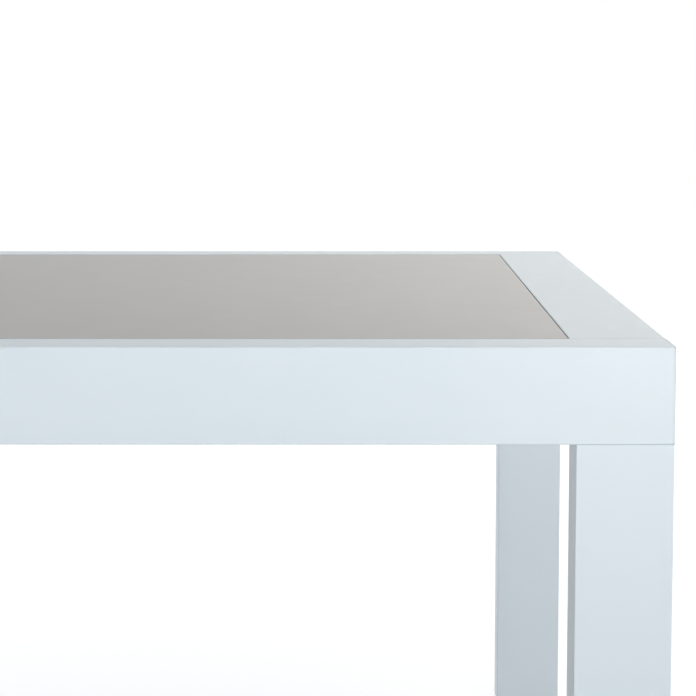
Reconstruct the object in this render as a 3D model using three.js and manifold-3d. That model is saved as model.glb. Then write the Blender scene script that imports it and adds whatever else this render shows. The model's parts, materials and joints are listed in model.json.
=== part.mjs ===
// Garden table: a white powder-coated aluminium frame with an inset top panel.
// Millimetres, +Z up. The origin is on the ground under the middle of the table.
// +X runs along the table to the right, and the front is at -Y.

import * as THREE from "three";
import { mergeVertices } from "three/addons/utils/BufferGeometryUtils.js";
import Module from "manifold-3d";

const wasm = await Module();
wasm.setup();

// Whole table
const TABLE_LENGTH = 1800;
const TABLE_WIDTH = 900;
const TABLE_HEIGHT = 750;

// Tube of the rails, on edge, and of the legs, upright
const TUBE_WIDE = 100;
const TUBE_DEEP = 50;
const TUBE_WALL = 2;
const TUBE_EDGE_RADIUS = 1.5;

// Bands across the two ends, as high as the rails
const BAND_WIDTH = 100;

// Caps in the open ends of the rails
const CAP_THICKNESS = 2;
const CAP_PLUG_DEPTH = 12;
const CAP_PLUG_WALL = 3;

// Top panel, all but flush with the top of the frame
const PANEL_THICKNESS = 8;
const PANEL_RECESS = 0.3;
const PANEL_CORNER_RADIUS = 2;
const PANEL_ARRIS = 0.6;

// Rubber seal that the panel's edge lies on, with a lip up beside it
const SEAL_WIDTH = 18;
const SEAL_THICKNESS = 2;
const SEAL_LIP_THICKNESS = 1.2;
const SEAL_LIP_DROP = 1;

// Angle ledges on the inner faces of the frame
const LEDGE_WIDTH = 25;
const LEDGE_DROP = 25;
const LEDGE_THICKNESS = 3;

// Crossbars under the panel, with a rubber strip along each
const CROSSBAR_COUNT = 2;
const CROSSBAR_WIDTH = 50;
const CROSSBAR_HEIGHT = 25;
const CROSSBAR_WALL = 2;
const STRIP_WIDTH = 20;

// Tapped plates welded in the tops of the legs and in the ends of the bands
const LEG_PLATE_THICKNESS = 10;
const BAND_PLATE_THICKNESS = 8;

// Flanged hexagon bolts that reach the plates through the walls of the rails
const BOLT_DIAMETER = 8;
const BOLT_FLANGE_DIAMETER = 17;
const BOLT_FLANGE_THICKNESS = 1.5;
const BOLT_HEAD_ACROSS_FLATS = 13;
const BOLT_HEAD_HEIGHT = 6.5;
const BOLT_TIP_STANDOUT = 4;
const LEG_BOLT_EDGE_DISTANCE = 25;

// Plug in the foot of each leg, with a threaded boss
const PLUG_FLANGE_THICKNESS = 3;
const PLUG_COLLAR_HEIGHT = 20;
const PLUG_COLLAR_WALL = 3;
const PLUG_BOSS_DIAMETER = 22;

// Levelling foot: a moulded pad on a threaded stud
const PAD_DIAMETER = 38;
const PAD_HEIGHT = 8;
const PAD_EDGE_RADIUS = 2;
const PAD_SOCKET_DEPTH = 4;
const STUD_DIAMETER = 10;
const FOOT_TRAVEL = 12;

// Clearances
const SLIDE_IN_GAP = 0.3;
const THREAD_GAP = 0.3;
const BOLT_HOLE_GAP = 0.5;
const PANEL_GAP = 0.3;
const MITRE_GAP = 0.15;
const CUT_OVERRUN = 1;

// Fineness of the round forms
const CORNER_STEPS = 2;
const ROUND_SEGMENTS = 24;

// Levels and spans that follow from the sizes above
const APRON_BOTTOM = TABLE_HEIGHT - TUBE_WIDE;
const APRON_MIDDLE = TABLE_HEIGHT - TUBE_WIDE / 2;
const LEG_BOTTOM = PAD_HEIGHT + PLUG_FLANGE_THICKNESS;
const LEG_LENGTH = APRON_BOTTOM - LEG_BOTTOM;
const PANEL_TOP = TABLE_HEIGHT - PANEL_RECESS;
const PANEL_BOTTOM = PANEL_TOP - PANEL_THICKNESS;
const LEDGE_TOP = PANEL_BOTTOM - SEAL_THICKNESS;
const OPENING_LENGTH = TABLE_LENGTH - 2 * BAND_WIDTH;
const OPENING_WIDTH = TABLE_WIDTH - 2 * TUBE_DEEP;
const BOLT_REACH_LEG = TUBE_WALL + LEG_PLATE_THICKNESS + BOLT_TIP_STANDOUT;
const BOLT_REACH_BAND = TUBE_WALL + BAND_PLATE_THICKNESS + BOLT_TIP_STANDOUT;

// The two ends and the two long sides, by the sign of their X or Y
const ENDS = [
  { name: "left", sign: -1 },
  { name: "right", sign: 1 },
];
const SIDES = [
  { name: "front", sign: -1 },
  { name: "rear", sign: 1 },
];

const FINISHES = {
  powder_coat: { color: 0xe3eaf0, roughness: 0.45, metalness: 0.1 },
  panel: { color: 0xbdbab6, roughness: 0.3, metalness: 0 },
  rubber: { color: 0x232426, roughness: 0.8, metalness: 0 },
  cap: { color: 0xdfe6ec, roughness: 0.5, metalness: 0 },
  bare_aluminium: { color: 0xb4b8bc, roughness: 0.45, metalness: 0.9 },
  steel: { color: 0xa9adb1, roughness: 0.35, metalness: 1 },
  grey_plastic: { color: 0x4b4e52, roughness: 0.6, metalness: 0 },
};

const table = new THREE.Group();

function addPiece(name, geometry, finish, x, y, z, parent = table) {
  const mesh = new THREE.Mesh(geometry, new THREE.MeshStandardMaterial(FINISHES[finish]));
  mesh.name = name;
  mesh.position.set(x, y, z);
  parent.add(mesh);
  return mesh;
}

// Solids for cutting and joining

function solidOf(geometry) {
  const bare = geometry.clone();
  bare.deleteAttribute("normal");
  bare.deleteAttribute("uv");
  const merged = mergeVertices(bare);
  return new wasm.Manifold(
    new wasm.Mesh({
      numProp: 3,
      vertProperties: merged.getAttribute("position").array,
      triVerts: new Uint32Array(merged.index.array),
    }),
  );
}

function geometryOf(solid) {
  const { vertProperties, triVerts, numProp } = solid.getMesh();
  const geometry = new THREE.BufferGeometry();
  geometry.setAttribute("position", new THREE.BufferAttribute(vertProperties, numProp));
  geometry.setIndex(new THREE.BufferAttribute(triVerts, 1));
  geometry.computeVertexNormals();
  return geometry;
}

// Outlines and straight runs

function roundedRectangle(width, height, radius) {
  const x = width / 2 - radius;
  const y = height / 2 - radius;
  const outline = new THREE.Shape();
  outline.moveTo(-x, -y - radius);
  outline.lineTo(x, -y - radius);
  outline.absarc(x, -y, radius, -Math.PI / 2, 0);
  outline.lineTo(x + radius, y);
  outline.absarc(x, y, radius, 0, Math.PI / 2);
  outline.lineTo(-x, y + radius);
  outline.absarc(-x, y, radius, Math.PI / 2, Math.PI);
  outline.lineTo(-x - radius, -y);
  outline.absarc(-x, -y, radius, Math.PI, Math.PI * 1.5);
  return outline;
}

function outlineThrough(points) {
  return new THREE.Shape(points.map(([x, y]) => new THREE.Vector2(x, y)));
}

function rectangle(width, height) {
  return outlineThrough([
    [-width / 2, -height / 2],
    [width / 2, -height / 2],
    [width / 2, height / 2],
    [-width / 2, height / 2],
  ]);
}

function tubeSection(width, height, wall, radius) {
  const section = roundedRectangle(width, height, radius);
  section.holes.push(rectangle(width - 2 * wall, height - 2 * wall));
  return section;
}

// An upright run from zero up to the given height.
function upright(section, height) {
  return new THREE.ExtrudeGeometry(section, {
    depth: height,
    bevelEnabled: false,
    curveSegments: CORNER_STEPS,
  });
}

// A run along X, centred, whose section is drawn in Y and Z.
function alongX(section, length) {
  const turn = new THREE.Matrix4().makeBasis(
    new THREE.Vector3(0, 1, 0),
    new THREE.Vector3(0, 0, 1),
    new THREE.Vector3(1, 0, 0),
  );
  return upright(section, length).translate(0, 0, -length / 2).applyMatrix4(turn);
}

// A run along X whose section is drawn as distance in from the frame and height, with mitred ends.
function mitredRun(section, length) {
  const geometry = alongX(section, length);
  const position = geometry.getAttribute("position");
  for (let i = 0; i < position.count; i += 1) {
    const half = length / 2 - MITRE_GAP - position.getY(i);
    position.setX(i, Math.sign(position.getX(i)) * half);
  }
  geometry.computeVertexNormals();
  return geometry;
}

function disc(diameter, height) {
  return new THREE.CylinderGeometry(diameter / 2, diameter / 2, height, ROUND_SEGMENTS);
}

function drill(diameter, depth) {
  return solidOf(disc(diameter, depth + 2 * CUT_OVERRUN));
}

// Rails and their end caps

function railGeometry() {
  const length = TABLE_LENGTH - 2 * CAP_THICKNESS;
  const section = tubeSection(TUBE_DEEP, TUBE_WIDE, TUBE_WALL, TUBE_EDGE_RADIUS);
  let rail = solidOf(alongX(section, length));
  for (const end of ENDS) {
    for (const x of legBoltPlaces(end)) {
      const hole = drill(BOLT_DIAMETER + 2 * BOLT_HOLE_GAP, TUBE_WALL)
        .rotate([90, 0, 0])
        .translate([x, 0, (TUBE_WALL - TUBE_WIDE) / 2]);
      rail = rail.subtract(hole);
    }
    const bandHole = drill(BOLT_DIAMETER + 2 * BOLT_HOLE_GAP, TUBE_WALL)
      .translate([bandMiddle(end), (TUBE_DEEP - TUBE_WALL) / 2, 0]);
    rail = rail.subtract(bandHole);
  }
  return geometryOf(rail);
}

// A plate over the end of the rail with a hollow plug into it, facing +X.
function railCapGeometry() {
  const inside = { depth: TUBE_DEEP - 2 * TUBE_WALL, height: TUBE_WIDE - 2 * TUBE_WALL };
  const plate = solidOf(
    alongX(roundedRectangle(TUBE_DEEP, TUBE_WIDE, TUBE_EDGE_RADIUS), CAP_THICKNESS),
  );
  const plugDepth = inside.depth - 2 * SLIDE_IN_GAP;
  const plugHeight = inside.height - 2 * SLIDE_IN_GAP;
  const plugLength = CAP_PLUG_DEPTH + CAP_THICKNESS;
  const plugMiddle = [(CAP_THICKNESS - plugLength) / 2, 0, 0];
  const plug = solidOf(alongX(rectangle(plugDepth, plugHeight), plugLength));
  const hollow = solidOf(
    alongX(rectangle(plugDepth - 2 * CAP_PLUG_WALL, plugHeight - 2 * CAP_PLUG_WALL), CAP_PLUG_DEPTH),
  );
  const cap = plate
    .add(plug.translate(plugMiddle))
    .subtract(hollow.translate([-(CAP_THICKNESS + CAP_PLUG_DEPTH) / 2, 0, 0]));
  return geometryOf(cap);
}

function addRails() {
  for (const side of SIDES) {
    const y = (side.sign * (TABLE_WIDTH - TUBE_DEEP)) / 2;
    const rail = addPiece(`${side.name}_rail`, railGeometry(), "powder_coat", 0, y, APRON_MIDDLE);
    rail.rotation.z = side.sign > 0 ? Math.PI : 0;
    for (const end of ENDS) {
      const x = (end.sign * (TABLE_LENGTH - CAP_THICKNESS)) / 2;
      const name = `rail_cap_${side.name}_${end.name}`;
      const cap = addPiece(name, railCapGeometry(), "cap", x, y, APRON_MIDDLE);
      cap.rotation.z = end.sign < 0 ? Math.PI : 0;
    }
  }
}

// End bands, between the inner faces of the rails

function bandMiddle(end) {
  return (end.sign * (TABLE_LENGTH - BAND_WIDTH)) / 2;
}

function bandPlateGeometry() {
  const section = rectangle(
    BAND_WIDTH - 2 * (TUBE_WALL + SLIDE_IN_GAP),
    TUBE_WIDE - 2 * (TUBE_WALL + SLIDE_IN_GAP),
  );
  const plate = solidOf(upright(section, BAND_PLATE_THICKNESS));
  const hole = drill(BOLT_DIAMETER + 2 * THREAD_GAP, BAND_PLATE_THICKNESS)
    .rotate([90, 0, 0])
    .translate([0, 0, BAND_PLATE_THICKNESS / 2]);
  return geometryOf(plate.subtract(hole));
}

function addEndBands() {
  const section = tubeSection(BAND_WIDTH, TUBE_WIDE, TUBE_WALL, TUBE_EDGE_RADIUS);
  for (const end of ENDS) {
    const x = bandMiddle(end);
    const tube = alongX(section, OPENING_WIDTH);
    const band = addPiece(`${end.name}_end_band`, tube, "powder_coat", x, 0, APRON_MIDDLE);
    band.rotation.z = Math.PI / 2;
    for (const side of SIDES) {
      const y = (side.sign * OPENING_WIDTH) / 2;
      const name = `band_plate_${side.name}_${end.name}`;
      const plate = addPiece(name, bandPlateGeometry(), "bare_aluminium", x, y, APRON_MIDDLE);
      plate.rotation.x = (side.sign * Math.PI) / 2;
      const bolt = boltGeometry(BOLT_REACH_BAND);
      const boltName = `band_bolt_${side.name}_${end.name}`;
      const seat = y + side.sign * TUBE_WALL;
      const placed = addPiece(boltName, bolt, "steel", x, seat, APRON_MIDDLE);
      placed.rotation.x = (-side.sign * Math.PI) / 2;
    }
  }
}

// Flanged hexagon bolts

// The head stands on zero and the shank hangs below it.
function boltGeometry(reach) {
  const shank = disc(BOLT_DIAMETER, reach + BOLT_FLANGE_THICKNESS / 2)
    .rotateX(Math.PI / 2)
    .translate(0, 0, (BOLT_FLANGE_THICKNESS / 2 - reach) / 2);
  const flange = disc(BOLT_FLANGE_DIAMETER, BOLT_FLANGE_THICKNESS)
    .rotateX(Math.PI / 2)
    .translate(0, 0, BOLT_FLANGE_THICKNESS / 2);
  const cornerRadius = BOLT_HEAD_ACROSS_FLATS / Math.sqrt(3);
  const head = new THREE.CylinderGeometry(cornerRadius, cornerRadius, BOLT_HEAD_HEIGHT, 6)
    .rotateX(Math.PI / 2)
    .translate(0, 0, BOLT_HEAD_HEIGHT / 2);
  return geometryOf(solidOf(shank).add(solidOf(flange)).add(solidOf(head)));
}

function legBoltPlaces(end) {
  const outer = TABLE_LENGTH / 2 - LEG_BOLT_EDGE_DISTANCE;
  const inner = TABLE_LENGTH / 2 - TUBE_WIDE + LEG_BOLT_EDGE_DISTANCE;
  return [end.sign * outer, end.sign * inner];
}

// Ledges, seals, panel and crossbars

// Calls build for each of the four sides of the opening, in a group turned to face it.
function roundOpening(build) {
  const runs = [
    { name: "front", turn: 0, length: OPENING_LENGTH, reach: OPENING_WIDTH / 2 },
    { name: "right", turn: Math.PI / 2, length: OPENING_WIDTH, reach: OPENING_LENGTH / 2 },
    { name: "rear", turn: Math.PI, length: OPENING_LENGTH, reach: OPENING_WIDTH / 2 },
    { name: "left", turn: -Math.PI / 2, length: OPENING_WIDTH, reach: OPENING_LENGTH / 2 },
  ];
  for (const run of runs) {
    const turned = new THREE.Group();
    turned.rotation.z = run.turn;
    table.add(turned);
    build(run, turned);
  }
}

function addLedges() {
  const section = outlineThrough([
    [0, 0],
    [0, -LEDGE_DROP],
    [LEDGE_THICKNESS, -LEDGE_DROP],
    [LEDGE_THICKNESS, -LEDGE_THICKNESS],
    [LEDGE_WIDTH, -LEDGE_THICKNESS],
    [LEDGE_WIDTH, 0],
  ]);
  roundOpening((run, parent) => {
    const ledge = mitredRun(section, run.length);
    addPiece(`panel_ledge_${run.name}`, ledge, "powder_coat", 0, -run.reach, LEDGE_TOP, parent);
  });
}

function addSeals() {
  const lipTop = SEAL_THICKNESS + PANEL_THICKNESS - SEAL_LIP_DROP;
  const section = outlineThrough([
    [0, 0],
    [SEAL_WIDTH, 0],
    [SEAL_WIDTH, SEAL_THICKNESS],
    [SEAL_LIP_THICKNESS, SEAL_THICKNESS],
    [SEAL_LIP_THICKNESS, lipTop],
    [0, lipTop],
  ]);
  roundOpening((run, parent) => {
    const seal = mitredRun(section, run.length);
    addPiece(`panel_seal_${run.name}`, seal, "rubber", 0, -run.reach, LEDGE_TOP, parent);
  });
}

function addPanel() {
  const edge = SEAL_LIP_THICKNESS + PANEL_GAP;
  const length = OPENING_LENGTH - 2 * edge;
  const width = OPENING_WIDTH - 2 * edge;
  const outline = roundedRectangle(
    length - 2 * PANEL_ARRIS,
    width - 2 * PANEL_ARRIS,
    PANEL_CORNER_RADIUS - PANEL_ARRIS,
  );
  const slab = new THREE.ExtrudeGeometry(outline, {
    depth: PANEL_THICKNESS - 2 * PANEL_ARRIS,
    bevelThickness: PANEL_ARRIS,
    bevelSize: PANEL_ARRIS,
    bevelSegments: 1,
    curveSegments: CORNER_STEPS,
  }).translate(0, 0, PANEL_ARRIS);
  addPiece("top_panel", slab, "panel", 0, 0, PANEL_BOTTOM);
}

function addCrossbars() {
  const top = LEDGE_TOP - LEDGE_THICKNESS;
  const barLength = OPENING_WIDTH - 2 * (LEDGE_THICKNESS + SLIDE_IN_GAP);
  const barSection = tubeSection(
    CROSSBAR_WIDTH,
    CROSSBAR_HEIGHT,
    CROSSBAR_WALL,
    TUBE_EDGE_RADIUS,
  );
  const stripLength = OPENING_WIDTH - 2 * (LEDGE_WIDTH + SLIDE_IN_GAP);
  const stripThickness = LEDGE_THICKNESS + SEAL_THICKNESS;
  const stripSection = rectangle(STRIP_WIDTH, stripThickness);
  for (let i = 1; i <= CROSSBAR_COUNT; i += 1) {
    const x = (OPENING_LENGTH * i) / (CROSSBAR_COUNT + 1) - OPENING_LENGTH / 2;
    const tube = alongX(barSection, barLength);
    const bar = addPiece(`crossbar_${i}`, tube, "powder_coat", x, 0, top - CROSSBAR_HEIGHT / 2);
    bar.rotation.z = Math.PI / 2;
    const rubber = alongX(stripSection, stripLength);
    const strip = addPiece(`crossbar_strip_${i}`, rubber, "rubber", x, 0, top + stripThickness / 2);
    strip.rotation.z = Math.PI / 2;
  }
}

// Legs

function legPlateGeometry() {
  const section = rectangle(
    TUBE_WIDE - 2 * (TUBE_WALL + SLIDE_IN_GAP),
    TUBE_DEEP - 2 * (TUBE_WALL + SLIDE_IN_GAP),
  );
  let plate = solidOf(upright(section, LEG_PLATE_THICKNESS));
  for (const end of ENDS) {
    const hole = drill(BOLT_DIAMETER + 2 * THREAD_GAP, LEG_PLATE_THICKNESS)
      .rotate([90, 0, 0])
      .translate([
        end.sign * (TUBE_WIDE / 2 - LEG_BOLT_EDGE_DISTANCE),
        0,
        LEG_PLATE_THICKNESS / 2,
      ]);
    plate = plate.subtract(hole);
  }
  return geometryOf(plate);
}

function addLeg(corner, end, x, y) {
  const section = tubeSection(TUBE_WIDE, TUBE_DEEP, TUBE_WALL, TUBE_EDGE_RADIUS);
  addPiece(`leg_${corner}`, upright(section, LEG_LENGTH), "powder_coat", x, y, LEG_BOTTOM);
  const plateBottom = APRON_BOTTOM - LEG_PLATE_THICKNESS;
  addPiece(`leg_plate_${corner}`, legPlateGeometry(), "bare_aluminium", x, y, plateBottom);
  legBoltPlaces(end).forEach((boltX, i) => {
    const name = `leg_bolt_${corner}_${i + 1}`;
    addPiece(name, boltGeometry(BOLT_REACH_LEG), "steel", boltX, y, APRON_BOTTOM + TUBE_WALL);
  });
}

// Feet

// A flange under the leg and a collar with a boss inside it, bored through for the stud.
function footPlugGeometry() {
  const flange = solidOf(
    upright(roundedRectangle(TUBE_WIDE, TUBE_DEEP, TUBE_EDGE_RADIUS), PLUG_FLANGE_THICKNESS),
  );
  const collarWidth = TUBE_WIDE - 2 * (TUBE_WALL + SLIDE_IN_GAP);
  const collarDepth = TUBE_DEEP - 2 * (TUBE_WALL + SLIDE_IN_GAP);
  const height = PLUG_FLANGE_THICKNESS + PLUG_COLLAR_HEIGHT;
  const collar = solidOf(upright(rectangle(collarWidth, collarDepth), height));
  const pocket = solidOf(
    upright(
      rectangle(collarWidth - 2 * PLUG_COLLAR_WALL, collarDepth - 2 * PLUG_COLLAR_WALL),
      PLUG_COLLAR_HEIGHT + CUT_OVERRUN,
    ),
  ).translate([0, 0, PLUG_FLANGE_THICKNESS]);
  const boss = solidOf(disc(PLUG_BOSS_DIAMETER, height))
    .rotate([90, 0, 0])
    .translate([0, 0, height / 2]);
  const bore = drill(STUD_DIAMETER + 2 * THREAD_GAP, height)
    .rotate([90, 0, 0])
    .translate([0, 0, height / 2]);
  return geometryOf(flange.add(collar).subtract(pocket).add(boss).subtract(bore));
}

// A round pad with a socket in its top for the stud.
function padGeometry() {
  const radius = PAD_DIAMETER / 2;
  const socket = STUD_DIAMETER / 2 + THREAD_GAP;
  const profile = new THREE.Path();
  profile.moveTo(0, 0);
  profile.lineTo(radius - PAD_EDGE_RADIUS, 0);
  profile.absarc(radius - PAD_EDGE_RADIUS, PAD_EDGE_RADIUS, PAD_EDGE_RADIUS, -Math.PI / 2, 0);
  profile.lineTo(radius, PAD_HEIGHT);
  profile.lineTo(socket, PAD_HEIGHT);
  profile.lineTo(socket, PAD_HEIGHT - PAD_SOCKET_DEPTH);
  profile.lineTo(0, PAD_HEIGHT - PAD_SOCKET_DEPTH);
  return new THREE.LatheGeometry(profile.getPoints(CORNER_STEPS), ROUND_SEGMENTS).rotateX(
    Math.PI / 2,
  );
}

// The stud reaches the top of the plug's boss when the foot is screwed right out.
function addFoot(corner, x, y) {
  addPiece(`foot_plug_${corner}`, footPlugGeometry(), "grey_plastic", x, y, PAD_HEIGHT);
  addPiece(`foot_pad_${corner}`, padGeometry(), "grey_plastic", x, y, 0);
  const length = PAD_SOCKET_DEPTH + PLUG_FLANGE_THICKNESS + PLUG_COLLAR_HEIGHT + FOOT_TRAVEL;
  const stud = disc(STUD_DIAMETER, length)
    .rotateX(Math.PI / 2)
    .translate(0, 0, length / 2);
  addPiece(`foot_stud_${corner}`, stud, "steel", x, y, PAD_HEIGHT - PAD_SOCKET_DEPTH);
}

function addLegsAndFeet() {
  for (const side of SIDES) {
    for (const end of ENDS) {
      const corner = `${side.name}_${end.name}`;
      const x = (end.sign * (TABLE_LENGTH - TUBE_WIDE)) / 2;
      const y = (side.sign * (TABLE_WIDTH - TUBE_DEEP)) / 2;
      addLeg(corner, end, x, y);
      addFoot(corner, x, y);
    }
  }
}

addRails();
addEndBands();
addLedges();
addSeals();
addPanel();
addCrossbars();
addLegsAndFeet();

export default table;
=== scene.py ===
import json
import math

import bmesh
import bpy
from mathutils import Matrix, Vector


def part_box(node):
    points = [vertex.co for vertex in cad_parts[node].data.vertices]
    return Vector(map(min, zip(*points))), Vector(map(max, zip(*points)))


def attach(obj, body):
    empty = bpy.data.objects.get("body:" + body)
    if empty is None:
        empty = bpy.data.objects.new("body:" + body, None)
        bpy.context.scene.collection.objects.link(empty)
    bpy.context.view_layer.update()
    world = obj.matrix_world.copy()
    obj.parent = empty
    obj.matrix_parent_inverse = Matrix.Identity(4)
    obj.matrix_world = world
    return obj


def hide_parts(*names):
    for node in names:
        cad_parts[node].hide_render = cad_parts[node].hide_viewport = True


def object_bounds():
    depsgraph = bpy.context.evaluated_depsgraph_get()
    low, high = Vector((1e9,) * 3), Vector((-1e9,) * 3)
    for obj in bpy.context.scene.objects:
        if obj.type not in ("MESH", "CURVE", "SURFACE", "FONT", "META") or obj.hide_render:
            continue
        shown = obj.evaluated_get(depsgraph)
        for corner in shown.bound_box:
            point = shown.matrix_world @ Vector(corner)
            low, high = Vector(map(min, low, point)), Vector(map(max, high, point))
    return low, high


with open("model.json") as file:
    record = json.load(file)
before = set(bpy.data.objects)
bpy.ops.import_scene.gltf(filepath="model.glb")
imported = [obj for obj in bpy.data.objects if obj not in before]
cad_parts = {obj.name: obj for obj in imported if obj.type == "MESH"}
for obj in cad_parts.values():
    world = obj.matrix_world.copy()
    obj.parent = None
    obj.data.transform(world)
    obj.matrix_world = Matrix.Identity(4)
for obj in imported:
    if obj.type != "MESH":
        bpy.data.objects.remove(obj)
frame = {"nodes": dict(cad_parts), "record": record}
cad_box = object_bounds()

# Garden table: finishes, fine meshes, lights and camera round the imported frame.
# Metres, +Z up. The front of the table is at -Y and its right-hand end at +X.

MM = 0.001

# The frame's record: the body that carries each node, and the node's material slot
BODY_OF = {
    node: body
    for body, nodes in frame["record"]["behaviour"]["bodies"].items()
    for node in nodes
}
SLOT_OF = {part["node"]: part["material_slot"] for part in frame["record"]["subparts"]}

# The table's long sides, ends and corners, as the nodes' names give them
SIDES = ("front", "rear")
ENDS = ("left", "right")
CORNERS = [f"{side}_{end}" for side in SIDES for end in ENDS]

# Fine meshes: steps of a corner's quarter turn, of a rounded edge and of a full turn, the distance
# at which points merge, the angle of a sharp edge, and the weight of wide faces in the normals
CORNER_STEPS = 7
EDGE_STEPS = 3
ROUND_STEPS = 48
MERGE_DISTANCE = 1e-7
SHARP_ANGLE = math.radians(35)
WIDE_FACE_WEIGHT = 100

# Tube and its edges
TUBE_WALL = 2 * MM
TUBE_EDGE_RADIUS = 1.5 * MM
TUBE_INNER_RADIUS = 0.4 * MM
CUT_EDGE_RADIUS = 0.25 * MM
BOLT_HOLE_DIAMETER = 9 * MM

# Rail caps
CAP_PLATE = 2 * MM
CAP_PLUG_WALL = 3 * MM
CAP_EDGE_RADIUS = 0.5 * MM
SLIDE_IN_GAP = 0.3 * MM

# Top panel. Where the upright share of a normal is above the last value, the mesh is the panel's
# face or underside, and elsewhere it is its edge.
PANEL_CORNER_RADIUS = 2 * MM
PANEL_ARRIS = 0.6 * MM
PANEL_FACE_UPRIGHT = 0.99

# Feet
PLUG_FLANGE = 3 * MM
PLUG_WALL = 3 * MM
PLUG_BOSS_DIAMETER = 22 * MM
PLUG_EDGE_RADIUS = 0.6 * MM
STUD_BORE_DIAMETER = 10.6 * MM
PAD_EDGE_RADIUS = 1.2 * MM
PAD_WAIST = 2.5 * MM
PAD_FLUTES = 24
PAD_FLUTE_STEPS = 6
PAD_FLUTE_DEPTH = 0.5 * MM
PAD_SOCKET_DEPTH = 4 * MM
THREAD_PITCH = 1.5 * MM
THREAD_DEPTH = 0.92 * MM
THREAD_STEPS = 6

# Welds under the ledges. A weld's tip has the square root of the tip share of its full size.
WELD_LENGTH = 30 * MM
WELD_SPACING = 200 * MM
WELD_SIZE = 2.8 * MM
WELD_TIP_SHARE = 0.02
WELD_RIPPLE = 1.7 * MM
WELD_RIPPLE_DEPTH = 0.22 * MM
WELD_STEP = 0.4 * MM
WELD_ARC_STEPS = 6

# The range in which most of a noise lies
NOISE_LOW = 0.3
NOISE_HIGH = 0.7

# Camera of the photograph: its place from the top's front right corner, tilt and frame. The
# sensor's width is in millimetres.
PICTURE_PX = 696
FOCAL_PX = 1407.3
CAMERA_FROM_CORNER = Vector((-0.3066, -1.3993, 0.2475))
CAMERA_TILT_DOWN = math.radians(4.282)
CAMERA_SHIFT = (-0.0338, -0.205)
SENSOR_WIDTH = 36

# Studio floor, and the whiteness of its own that it has for rays that see it. The whiteness is lower
# round the table, a painted shade where the shadows lie, and rises between the two reaches from the
# middle.
FLOOR_HALF_WIDTH = 15
FLOOR_SRGB = (212, 214, 216)
LIFT_AT_TABLE = 0.6
LIFT_FAR_OUT = 0.7
TABLE_REACH = 0.5
FAR_REACH = 1.6

# Ambient light, and the white that the backdrop shows
AMBIENT_SRGB = (247, 251, 255)
AMBIENT_STRENGTH = 0.5
WHITE = (1, 1, 1, 1)
WHITE_STRENGTH = 1.0

# Softboxes: name, place, the point they face, width, height, watts, spread in degrees and colour
LAMPS = [
    ("key", (4.0, -5.5, 0.6), (0.6, -0.3, 0.5), 6.0, 1.1, 145, 180, (0.98, 1.0, 0.995)),
    ("apron_light", (2.2, -5.0, 1.2), (0.8, -0.45, 1.1), 2.5, 0.8, 2.7, 24, (1.0, 1.0, 0.99)),
    ("rear", (-4.4, 3.6, 3.0), (0.0, 0.3, 0.6), 4.5, 3.0, 118, 180, (1.0, 1.0, 1.0)),
    ("sheen", (0.0, 4.5, 1.6), (0.0, 0.0, 1.3), 6.0, 1.8, 46, 180, (1.0, 0.98, 0.89)),
]

# The sheen softbox is brightest at its end behind the table's right-hand side. Its dark and bright
# ends are in shares of its width from that end, and the curve is the power that its rise follows.
SHEEN_DARK_END = 0.77
SHEEN_BRIGHT_END = 0.1
SHEEN_CURVE = 1.7


# Node trees


def add_node(tree, kind, inputs=None, **settings):
    """A new node with its settings and inputs; an input is a value, or a socket to link."""
    node = tree.nodes.new(kind)
    for name, value in settings.items():
        setattr(node, name, value)
    for name, value in (inputs or {}).items():
        if isinstance(value, bpy.types.NodeSocket):
            tree.links.new(value, node.inputs[name])
        else:
            node.inputs[name].default_value = value
    return node


def combine(tree, operation, first, second):
    """The result of a math node on two values or sockets."""
    return add_node(tree, "ShaderNodeMath", {0: first, 1: second}, operation=operation).outputs[0]


def linear(red, green, blue):
    """The linear RGBA of an sRGB colour given in 0 to 255."""

    def channel(value):
        share = value / 255
        return share / 12.92 if share <= 0.04045 else ((share + 0.055) / 1.055) ** 2.4

    return (channel(red), channel(green), channel(blue), 1)


def new_material(name, **values):
    """A material with its tree and shader; the values are the shader's own sockets."""
    material = bpy.data.materials.new(name)
    material.use_nodes = True
    tree = material.node_tree
    shader = tree.nodes["Principled BSDF"]
    for socket, value in values.items():
        shader.inputs[socket.replace("_", " ")].default_value = value
    return material, tree, shader


def noise(tree, scale, detail=2.0, roughness=0.5, stretch=(1, 1, 1)):
    """Noise over the surface; scale is in features for each metre."""
    place = add_node(tree, "ShaderNodeTexCoord").outputs["Object"]
    mapping = add_node(tree, "ShaderNodeMapping", {"Vector": place, "Scale": stretch})
    inputs = {
        "Vector": mapping.outputs["Vector"],
        "Scale": scale,
        "Detail": detail,
        "Roughness": roughness,
    }
    return add_node(tree, "ShaderNodeTexNoise", inputs).outputs["Fac"]


def spread(tree, pattern, low, high):
    """The noise's middle range stretched over low to high."""
    inputs = {
        "Value": pattern,
        "From Min": NOISE_LOW,
        "From Max": NOISE_HIGH,
        "To Min": low,
        "To Max": high,
    }
    return add_node(tree, "ShaderNodeMapRange", inputs).outputs["Result"]


def mix_colours(tree, share, first, second):
    """The two colours mixed; each is a value or a socket."""
    mixer = add_node(tree, "ShaderNodeMix", data_type="RGBA")
    tree.links.new(share, mixer.inputs["Factor"])
    for socket, colour in (("A", first), ("B", second)):
        target = next(i for i in mixer.inputs if i.name == socket and i.type == "RGBA")
        if isinstance(colour, bpy.types.NodeSocket):
            tree.links.new(colour, target)
        else:
            target.default_value = colour
    return next(o for o in mixer.outputs if o.type == "RGBA")


def set_colour(tree, shader, pattern, dark, light):
    """Lets the pattern move the colour between two sRGB colours."""
    colour = mix_colours(tree, spread(tree, pattern, 0, 1), linear(*dark), linear(*light))
    tree.links.new(colour, shader.inputs["Base Color"])


def set_roughness(tree, shader, pattern, low, high):
    tree.links.new(spread(tree, pattern, low, high), shader.inputs["Roughness"])


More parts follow.
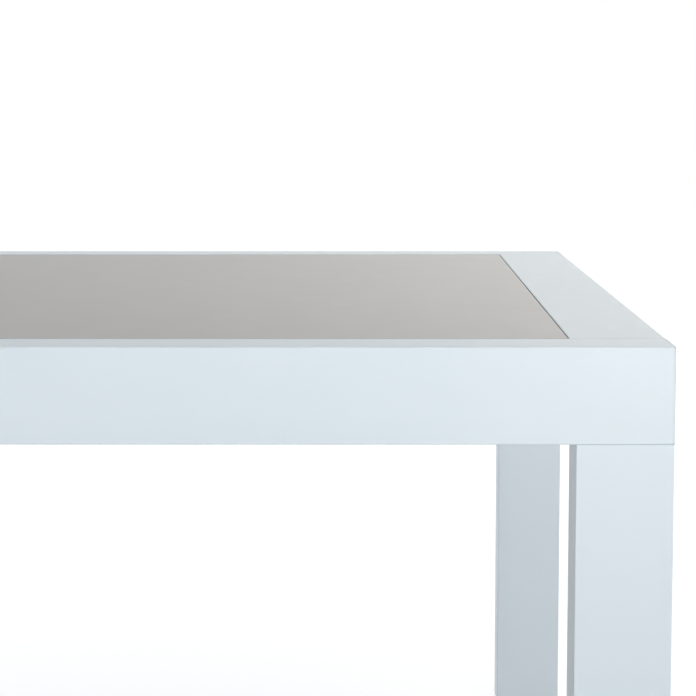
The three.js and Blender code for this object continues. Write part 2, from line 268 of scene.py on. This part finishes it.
def add_bump(tree, shader, pattern, strength, distance):
    inputs = {"Height": pattern, "Strength": strength, "Distance": distance}
    bump = add_node(tree, "ShaderNodeBump", inputs)
    tree.links.new(bump.outputs["Normal"], shader.inputs["Normal"])


# Finishes


def powder_coat():
    """Smooth satin white powder coat with its faint orange peel."""
    material, tree, shader = new_material("powder_coat", Specular_IOR_Level=0.4)
    set_colour(tree, shader, noise(tree, scale=2.2, detail=3), (224, 233, 238), (228, 236, 240))
    set_roughness(tree, shader, noise(tree, scale=60), low=0.36, high=0.44)
    add_bump(tree, shader, noise(tree, scale=700), strength=0.06, distance=0.05 * MM)
    return material


def cap_plastic():
    """Moulded plastic in the colour of the coat, a little warmer and finely grained."""
    material, tree, shader = new_material("cap_plastic", Specular_IOR_Level=0.4)
    set_colour(tree, shader, noise(tree, scale=30), (219, 226, 231), (225, 231, 235))
    set_roughness(tree, shader, noise(tree, scale=150), low=0.46, high=0.54)
    add_bump(tree, shader, noise(tree, scale=1600, detail=3), strength=0.12, distance=0.05 * MM)
    return material


def panel_face():
    """Satin glass, lacquered greige: an even tone with a very fine etched grain."""
    material, tree, shader = new_material("panel_face", Specular_IOR_Level=0.25)
    cloud = spread(tree, noise(tree, scale=1.6, detail=4, roughness=0.55), low=0, high=1)
    even = mix_colours(tree, cloud, linear(164, 161, 158), linear(166, 163, 160))
    etching = spread(tree, noise(tree, scale=2200), low=0, high=0.05)
    etched = mix_colours(tree, etching, even, linear(190, 188, 184))
    tree.links.new(etched, shader.inputs["Base Color"])
    set_roughness(tree, shader, noise(tree, scale=25, detail=3), low=0.33, high=0.35)
    add_bump(tree, shader, noise(tree, scale=2200), strength=0.05, distance=0.03 * MM)
    return material


def panel_edge():
    """The polished edge of the glass, greener and darker than its face."""
    material, tree, shader = new_material("panel_edge", Specular_IOR_Level=0.5)
    set_colour(tree, shader, noise(tree, scale=400, detail=3), (122, 130, 126), (138, 145, 141))
    set_roughness(tree, shader, noise(tree, scale=900), low=0.2, high=0.3)
    add_bump(tree, shader, noise(tree, scale=1800), strength=0.2, distance=0.05 * MM)
    return material


def rubber():
    """Black sealing rubber with a dull, slightly dusty surface."""
    material, tree, shader = new_material("rubber", Specular_IOR_Level=0.3)
    set_colour(tree, shader, noise(tree, scale=90, detail=3), (34, 35, 37), (46, 47, 49))
    set_roughness(tree, shader, noise(tree, scale=300), low=0.7, high=0.85)
    add_bump(tree, shader, noise(tree, scale=1500), strength=0.25, distance=0.08 * MM)
    return material


def bare_aluminium():
    """Mill-finish aluminium with the fine lines of its drawing."""
    material, tree, shader = new_material("bare_aluminium", Metallic=1.0)
    lines = noise(tree, scale=90, detail=4, roughness=0.6, stretch=(0.3, 12, 12))
    set_colour(tree, shader, lines, (186, 188, 190), (204, 206, 208))
    set_roughness(tree, shader, lines, low=0.32, high=0.46)
    add_bump(tree, shader, lines, strength=0.1, distance=0.05 * MM)
    return material


def stainless():
    """Turned stainless steel with fine lines round the axis."""
    material, tree, shader = new_material("stainless", Metallic=1.0)
    lines = noise(tree, scale=500, detail=3, roughness=0.6, stretch=(0.4, 0.4, 6))
    set_colour(tree, shader, lines, (176, 177, 178), (198, 199, 200))
    set_roughness(tree, shader, lines, low=0.24, high=0.36)
    add_bump(tree, shader, lines, strength=0.08, distance=0.03 * MM)
    return material


def grey_plastic():
    """Dark grey moulded polyamide with an eroded grain."""
    material, tree, shader = new_material("grey_plastic", Specular_IOR_Level=0.4)
    set_colour(tree, shader, noise(tree, scale=120, detail=3), (70, 73, 77), (80, 83, 87))
    set_roughness(tree, shader, noise(tree, scale=400), low=0.5, high=0.62)
    add_bump(tree, shader, noise(tree, scale=1300, detail=3), strength=0.25, distance=0.08 * MM)
    return material


FINISH_OF_SLOT = {
    "powder_coat": powder_coat(),
    "cap_plastic": cap_plastic(),
    "panel_glass": panel_face(),
    "rubber": rubber(),
    "bare_aluminium": bare_aluminium(),
    "stainless": stainless(),
    "grey_plastic": grey_plastic(),
}
PANEL_EDGE_FINISH = panel_edge()


# Outlines and shells


def outline(width, depth, radius):
    """A rounded rectangle round zero, or a circle where the radius is half of both sides."""
    radius = min(radius, width / 2, depth / 2)
    corners = [(1, -1, -90), (1, 1, 0), (-1, 1, 90), (-1, -1, 180)]
    points = []
    for side_u, side_v, start in corners:
        for step in range(CORNER_STEPS + 1):
            angle = math.radians(start + 90 * step / CORNER_STEPS)
            u = side_u * (width / 2 - radius) + radius * math.cos(angle)
            v = side_v * (depth / 2 - radius) + radius * math.sin(angle)
            points.append((u, v))
    return points


def circle(diameter):
    return outline(diameter, diameter, diameter / 2)


def rounding(radius):
    """Pairs for a rounded edge: how far in from the side, and how far from the face."""
    pairs = []
    for step in range(EDGE_STEPS + 1):
        angle = math.pi / 2 * step / EDGE_STEPS
        pairs.append((radius * (1 - math.sin(angle)), radius * (1 - math.cos(angle))))
    return pairs


def rounded_start(width, depth, radius, edge, level):
    """Rings from the face at level, inset by the edge radius, out to the full outline above it."""
    rings = []
    for inset, rise in rounding(edge):
        points = outline(width - 2 * inset, depth - 2 * inset, radius - inset)
        rings.append((points, level + rise))
    return rings


def rounded_end(width, depth, radius, edge, level):
    """Rings from the full outline below level in to the face at level."""
    return [
        (points, 2 * level - height)
        for points, height in reversed(rounded_start(width, depth, radius, edge, level))
    ]


# Where the point u, v of a ring at level t lies, for rings stacked along each axis
PLACES = {
    "X": lambda u, v, t: (t, u, v),
    "Y": lambda u, v, t: (u, t, v),
    "Z": lambda u, v, t: (u, v, t),
}


def shell(rings, axis, middle, loop):
    """A closed mesh through the rings: a loop joins its ends, and else each end gets a face."""
    bm = bmesh.new()
    made = []
    for points, level in rings:
        made.append([bm.verts.new(Vector(PLACES[axis](u, v, level)) + middle) for u, v in points])
    pairs = list(zip(made, made[1:]))
    if loop:
        pairs.append((made[-1], made[0]))
    else:
        bm.faces.new(made[0])
        bm.faces.new(made[-1])
    for lower, upper in pairs:
        for i in range(len(lower)):
            j = (i + 1) % len(lower)
            bm.faces.new((lower[i], lower[j], upper[j], upper[i]))
    bmesh.ops.remove_doubles(bm, verts=bm.verts, dist=MERGE_DISTANCE)
    bmesh.ops.recalc_face_normals(bm, faces=bm.faces)
    return bm


def add_object(name, data):
    made = bpy.data.objects.new(name, data)
    bpy.context.scene.collection.objects.link(made)
    return made


def make_object(name, bm):
    """An object of the mesh, smooth apart from its sharp edges."""
    mesh = bpy.data.meshes.new(name)
    bm.to_mesh(mesh)
    bm.free()
    mesh.shade_smooth()
    mesh.set_sharp_from_angle(angle=SHARP_ANGLE)
    return add_object(name, mesh)


def weigh_normals(made):
    """Keeps wide flat faces flat beside their small rounded edges."""
    weighted = made.modifiers.new("weighted_normals", "WEIGHTED_NORMAL")
    weighted.keep_sharp = True
    weighted.weight = WIDE_FACE_WEIGHT


def stand_for(made, node):
    """The piece takes over from the node, with its body and the finish of its slot."""
    made.data.materials.append(FINISH_OF_SLOT[SLOT_OF[node]])
    weigh_normals(made)
    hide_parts(node)
    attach(made, BODY_OF[node])


def middle_of_underside(low, high):
    """The middle of the underside of a box, from its lowest and highest corners."""
    return Vector(((low.x + high.x) / 2, (low.y + high.y) / 2, low.z))


# Tubes


def tube_between(node, axis):
    """A tube as long and as wide as the node along the axis, with rounded edges and eased ends."""
    low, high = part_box(node)
    middle = (low + high) / 2
    size = high - low
    width, depth, length = {
        "X": (size.y, size.z, size.x),
        "Y": (size.x, size.z, size.y),
        "Z": (size.x, size.y, size.z),
    }[axis]
    inner = outline(width - 2 * TUBE_WALL, depth - 2 * TUBE_WALL, TUBE_INNER_RADIUS)
    rings = [
        (inner, -length / 2),
        *rounded_start(width, depth, TUBE_EDGE_RADIUS, CUT_EDGE_RADIUS, -length / 2),
        *rounded_end(width, depth, TUBE_EDGE_RADIUS, CUT_EDGE_RADIUS, length / 2),
        (inner, length / 2),
    ]
    return make_object(f"{node}_fine", shell(rings, axis, middle, loop=True))


def drill_holes(made, bolts):
    """Cuts a hole round the axis of each bolt through the wall under its head."""
    cutters = []
    for bolt, axis in bolts:
        low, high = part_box(bolt)
        middle = (low + high) / 2
        reach = max(high - low)
        rings = [(circle(BOLT_HOLE_DIAMETER), -reach), (circle(BOLT_HOLE_DIAMETER), reach)]
        cutter = make_object(f"{bolt}_cutter", shell(rings, axis, middle, loop=False))
        cut = made.modifiers.new("bolt_hole", "BOOLEAN")
        cut.object = cutter
        cut.solver = "EXACT"
        cutters.append(cutter)
    depsgraph = bpy.context.evaluated_depsgraph_get()
    drilled = bpy.data.meshes.new_from_object(made.evaluated_get(depsgraph))
    made.modifiers.clear()
    made.data = drilled
    drilled.set_sharp_from_angle(angle=SHARP_ANGLE)
    for cutter in cutters:
        bpy.data.objects.remove(cutter)


def make_rails():
    for side in SIDES:
        rail = tube_between(f"{side}_rail", "X")
        bolts = [(f"band_bolt_{side}_{end}", "Y") for end in ENDS]
        for end in ENDS:
            bolts += [(f"leg_bolt_{side}_{end}_{i}", "Z") for i in (1, 2)]
        drill_holes(rail, bolts)
        stand_for(rail, f"{side}_rail")


def make_plain_tubes():
    nodes = [(f"{end}_end_band", "Y") for end in ENDS]
    nodes += [(f"crossbar_{i}", "Y") for i in (1, 2)]
    nodes += [(f"leg_{corner}", "Z") for corner in CORNERS]
    for node, axis in nodes:
        stand_for(tube_between(node, axis), node)


# Rail caps


def make_rail_cap(node, outward):
    """A plate with an eased rim over a hollow plug; outward is the sign of X on the plate's side."""
    low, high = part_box(node)
    reach, width, depth = high - low
    face = high.x if outward > 0 else low.x
    plug_width = width - 2 * (TUBE_WALL + SLIDE_IN_GAP)
    plug_depth = depth - 2 * (TUBE_WALL + SLIDE_IN_GAP)
    hollow = outline(plug_width - 2 * CAP_PLUG_WALL, plug_depth - 2 * CAP_PLUG_WALL, CAP_PLUG_WALL)
    rings = [
        *rounded_start(width, depth, TUBE_EDGE_RADIUS, CAP_EDGE_RADIUS, 0),
        (outline(width, depth, TUBE_EDGE_RADIUS), CAP_PLATE),
        (outline(plug_width, plug_depth, CAP_PLUG_WALL), CAP_PLATE),
        *rounded_end(plug_width, plug_depth, CAP_PLUG_WALL, CAP_EDGE_RADIUS, reach),
        (hollow, reach),
        (hollow, CAP_PLATE),
    ]
    inward = [(points, face - outward * level) for points, level in rings]
    middle = Vector((0, (low.y + high.y) / 2, (low.z + high.z) / 2))
    stand_for(make_object(f"{node}_fine", shell(inward, "X", middle, loop=False)), node)


def make_rail_caps():
    for side in SIDES:
        make_rail_cap(f"rail_cap_{side}_left", -1)
        make_rail_cap(f"rail_cap_{side}_right", 1)


# Top panel


def make_panel():
    """A slab with eased arrises, whose edge has a finish of its own."""
    low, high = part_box("top_panel")
    width, depth, thickness = high - low
    rings = [
        *rounded_start(width, depth, PANEL_CORNER_RADIUS, PANEL_ARRIS, 0),
        *rounded_end(width, depth, PANEL_CORNER_RADIUS, PANEL_ARRIS, thickness),
    ]
    slab = shell(rings, "Z", middle_of_underside(low, high), loop=False)
    panel = make_object("top_panel_fine", slab)
    stand_for(panel, "top_panel")
    panel.data.materials.append(PANEL_EDGE_FINISH)
    for face in panel.data.polygons:
        face.material_index = 0 if abs(face.normal.z) > PANEL_FACE_UPRIGHT else 1


# Feet


def make_foot_plug(node):
    """A flange, a hollow collar and a boss, bored through for the stud."""
    low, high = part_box(node)
    width, depth, height = high - low
    inset = 2 * (TUBE_WALL + SLIDE_IN_GAP)
    collar = (width - inset, depth - inset)
    pocket = outline(collar[0] - 2 * PLUG_WALL, collar[1] - 2 * PLUG_WALL, PLUG_WALL)
    rings = [
        (circle(STUD_BORE_DIAMETER), 0),
        *rounded_start(width, depth, TUBE_EDGE_RADIUS, PLUG_EDGE_RADIUS, 0),
        (outline(width, depth, TUBE_EDGE_RADIUS), PLUG_FLANGE),
        (outline(*collar, TUBE_INNER_RADIUS), PLUG_FLANGE),
        *rounded_end(*collar, TUBE_INNER_RADIUS, CUT_EDGE_RADIUS, height),
        (pocket, height),
        (pocket, PLUG_FLANGE),
        (circle(PLUG_BOSS_DIAMETER), PLUG_FLANGE),
        (circle(PLUG_BOSS_DIAMETER), height),
        (circle(STUD_BORE_DIAMETER), height),
    ]
    plug = shell(rings, "Z", middle_of_underside(low, high), loop=True)
    stand_for(make_object(f"{node}_fine", plug), node)


def fluted(diameter, flute_depth):
    """A circle whose rim has shallow finger flutes."""
    steps = PAD_FLUTES * PAD_FLUTE_STEPS
    points = []
    for i in range(steps):
        angle = 2 * math.pi * i / steps
        dip = flute_depth * max(0, math.cos(PAD_FLUTES * angle)) ** 2
        radius = diameter / 2 - dip
        points.append((radius * math.cos(angle), radius * math.sin(angle)))
    return points


def make_foot_pad(node):
    """A round pad with a fluted rim above a plain sole, and a socket for the stud."""
    low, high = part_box(node)
    across, height = high.x - low.x, high.z - low.z
    edge = rounding(PAD_EDGE_RADIUS)
    rings = [(fluted(across - 2 * inset, 0), rise) for inset, rise in edge]
    rings.append((fluted(across, 0), PAD_WAIST))
    rings.append((fluted(across, PAD_FLUTE_DEPTH), PAD_WAIST + PAD_EDGE_RADIUS))
    for inset, drop in reversed(edge):
        rings.append((fluted(across - 2 * inset, PAD_FLUTE_DEPTH), height - drop))
    rings.append((fluted(STUD_BORE_DIAMETER, 0), height))
    rings.append((fluted(STUD_BORE_DIAMETER, 0), height - PAD_SOCKET_DEPTH))
    pad = shell(rings, "Z", middle_of_underside(low, high), loop=False)
    stand_for(make_object(f"{node}_fine", pad), node)


def make_foot_stud(node):
    """A stud with a cut thread, its ends turned down to the root."""
    low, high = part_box(node)
    radius, length = (high.x - low.x) / 2, high.z - low.z
    rings = []
    count = round(length / THREAD_PITCH * THREAD_STEPS)
    for ring in range(count + 1):
        level = length * ring / count
        from_end = min(level, length - level)
        crest = radius - max(0, THREAD_DEPTH - from_end)
        points = []
        for i in range(ROUND_STEPS):
            turn = i / ROUND_STEPS
            phase = (level / THREAD_PITCH - turn) % 1
            cut = THREAD_DEPTH * (1 - abs(2 * phase - 1))
            reach = min(crest, radius - cut)
            angle = 2 * math.pi * turn
            points.append((reach * math.cos(angle), reach * math.sin(angle)))
        rings.append((points, level))
    stud = shell(rings, "Z", middle_of_underside(low, high), loop=False)
    stand_for(make_object(f"{node}_fine", stud), node)


def make_feet():
    for corner in CORNERS:
        make_foot_plug(f"foot_plug_{corner}")
        make_foot_pad(f"foot_pad_{corner}")
        make_foot_stud(f"foot_stud_{corner}")


# Welds


def weld_section(size):
    """A quarter round in the corner between a wall at u = 0 and a face at v = 0."""
    arc = [math.pi / 2 * step / WELD_ARC_STEPS for step in range(WELD_ARC_STEPS + 1)]
    return [(0, 0), *((size * math.cos(angle), -size * math.sin(angle)) for angle in arc)]


def weld_rings(length):
    """Sections of a rippled fillet weld, from one end to the other."""
    count = round(length / WELD_STEP)
    rings = []
    for ring in range(count + 1):
        along = length * ring / count
        from_end = min(along, length - along)
        taper = min(1, math.sqrt(max(WELD_TIP_SHARE, from_end / WELD_SIZE)))
        ripple = WELD_RIPPLE_DEPTH * math.sin(2 * math.pi * along / WELD_RIPPLE)
        rings.append((weld_section((WELD_SIZE + ripple) * taper), along - length / 2))
    return rings


def make_ledge_welds(side, face, inward, along):
    """Stitch welds under a ledge, on the frame's inner face; inward is the sign away from it."""
    low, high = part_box(f"panel_ledge_{side}")
    axis = 0 if along == "X" else 1
    span = high[axis] - low[axis]
    count = math.floor(span / WELD_SPACING)
    rings = [
        ([(inward * u, v) for u, v in points], level)
        for points, level in weld_rings(WELD_LENGTH)
    ]
    bm = bmesh.new()
    for i in range(count):
        place = low[axis] + span * (i + 0.5) / count
        middle = Vector((place, face, low.z)) if along == "X" else Vector((face, place, low.z))
        bead = shell(rings, along, middle, loop=False)
        mesh = bpy.data.meshes.new("bead")
        bead.to_mesh(mesh)
        bead.free()
        bm.from_mesh(mesh)
        bpy.data.meshes.remove(mesh)
    welds = make_object(f"ledge_welds_{side}", bm)
    welds.data.materials.append(FINISH_OF_SLOT["powder_coat"])
    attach(welds, BODY_OF[f"panel_ledge_{side}"])


def make_welds():
    front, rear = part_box("front_rail")[1].y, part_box("rear_rail")[0].y
    left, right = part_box("left_end_band")[1].x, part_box("right_end_band")[0].x
    make_ledge_welds("front", front, 1, "X")
    make_ledge_welds("rear", rear, -1, "X")
    make_ledge_welds("left", left, 1, "Y")
    make_ledge_welds("right", right, -1, "Y")


# Nodes that keep their shape


def dress_kept_nodes():
    for node, shown in frame["nodes"].items():
        shown.data.materials.clear()
        shown.data.materials.append(FINISH_OF_SLOT[SLOT_OF[node]])


# Floor, light and camera


def background_share(tree):
    """1 for rays that see the backdrop itself, and 0 for rays that gather light from it."""
    rays = add_node(tree, "ShaderNodeLightPath").outputs
    mirror = combine(tree, "MAXIMUM", rays["Is Glossy Ray"], rays["Is Transmission Ray"])
    return combine(tree, "MAXIMUM", rays["Is Camera Ray"], mirror)


def add_world():
    """Pale ambient light, and a backdrop that shows white."""
    world = bpy.data.worlds.new("studio")
    world.use_nodes = True
    tree = world.node_tree
    tree.nodes.clear()
    pale = {"Color": linear(*AMBIENT_SRGB), "Strength": AMBIENT_STRENGTH}
    ambient = add_node(tree, "ShaderNodeBackground", pale)
    white = add_node(tree, "ShaderNodeBackground", {"Color": WHITE, "Strength": WHITE_STRENGTH})
    mixed = add_node(tree, "ShaderNodeMixShader", {0: background_share(tree)})
    tree.links.new(ambient.outputs[0], mixed.inputs[1])
    tree.links.new(white.outputs[0], mixed.inputs[2])
    output = add_node(tree, "ShaderNodeOutputWorld")
    tree.links.new(mixed.outputs[0], output.inputs["Surface"])
    bpy.context.scene.world = world


def floor_whiteness(tree):
    """The floor's own whiteness, which rises with the distance from the middle, so that a painted
    shade lies round the table.
    """
    place = add_node(tree, "ShaderNodeTexCoord").outputs["Object"]
    distance = add_node(tree, "ShaderNodeVectorMath", {0: place}, operation="LENGTH")
    inputs = {
        "Value": distance.outputs["Value"],
        "From Min": TABLE_REACH,
        "From Max": FAR_REACH,
        "To Min": LIFT_AT_TABLE,
        "To Max": LIFT_FAR_OUT,
    }
    rise = add_node(tree, "ShaderNodeMapRange", inputs, interpolation_type="SMOOTHSTEP")
    return rise.outputs["Result"]


def floor_finish():
    """A pale matt floor that shows nearly white and keeps the table's shadow."""
    material = bpy.data.materials.new("studio_floor")
    material.use_nodes = True
    tree = material.node_tree
    tree.nodes.clear()
    matt = add_node(tree, "ShaderNodeBsdfDiffuse", {"Color": linear(*FLOOR_SRGB)})
    # Painted shade: the floor's glow is dimmer round the table than far out.
    lift = combine(tree, "MULTIPLY", background_share(tree), floor_whiteness(tree))
    glow = add_node(tree, "ShaderNodeEmission", {"Color": WHITE, "Strength": lift})
    mixed = add_node(tree, "ShaderNodeAddShader")
    tree.links.new(matt.outputs[0], mixed.inputs[0])
    tree.links.new(glow.outputs[0], mixed.inputs[1])
    output = add_node(tree, "ShaderNodeOutputMaterial")
    tree.links.new(mixed.outputs[0], output.inputs["Surface"])
    return material


def add_floor(half_width):
    mesh = bpy.data.meshes.new("studio_floor")
    corners = [(-1, -1), (1, -1), (1, 1), (-1, 1)]
    mesh.from_pydata([(half_width * x, half_width * y, 0) for x, y in corners], [], [(0, 1, 2, 3)])
    mesh.materials.append(floor_finish())
    add_object("studio_floor", mesh)


def add_softbox(name, place, target, width, height, power, spread_angle, colour):
    """A rectangular lamp that faces its target; the spread angle is in degrees."""
    lamp = bpy.data.lights.new(name, "AREA")
    lamp.shape = "RECTANGLE"
    lamp.size = width
    lamp.size_y = height
    lamp.energy = power
    lamp.color = colour
    lamp.spread = math.radians(spread_angle)
    box = add_object(name, lamp)
    box.location = place
    box.rotation_euler = (Vector(target) - Vector(place)).to_track_quat("-Z", "Y").to_euler()
    box.visible_camera = False
    return lamp


def grade_across(lamp, dark_end, bright_end, curve):
    """Fades the face of a softbox across its width, from full strength to none."""
    lamp.use_nodes = True
    tree = lamp.node_tree
    face = add_node(tree, "ShaderNodeNewGeometry").outputs["Parametric"]
    across = add_node(tree, "ShaderNodeSeparateXYZ", {"Vector": face}).outputs["X"]
    ends = {"Value": across, "From Min": dark_end, "From Max": bright_end}
    rise = add_node(tree, "ShaderNodeMapRange", ends).outputs["Result"]
    strength = combine(tree, "POWER", rise, curve)
    tree.links.new(strength, tree.nodes["Emission"].inputs["Strength"])


def add_camera():
    """The photograph's camera, placed from the CAD box's front right top corner."""
    data = bpy.data.cameras.new("photo_camera")
    data.sensor_width = SENSOR_WIDTH
    data.lens = FOCAL_PX / PICTURE_PX * SENSOR_WIDTH
    data.shift_x, data.shift_y = CAMERA_SHIFT
    camera = add_object("photo_camera", data)
    low, high = cad_box
    camera.location = Vector((high.x, low.y, high.z)) + CAMERA_FROM_CORNER
    camera.rotation_euler = (math.pi / 2 - CAMERA_TILT_DOWN, 0, 0)
    bpy.context.scene.camera = camera


bpy.context.scene.view_settings.view_transform = "Standard"
add_camera()
add_world()
add_floor(FLOOR_HALF_WIDTH)
softboxes = {lamp[0]: add_softbox(*lamp) for lamp in LAMPS}
grade_across(softboxes["sheen"], SHEEN_DARK_END, SHEEN_BRIGHT_END, SHEEN_CURVE)

dress_kept_nodes()
make_rails()
make_plain_tubes()
make_rail_caps()
make_panel()
make_feet()
make_welds()
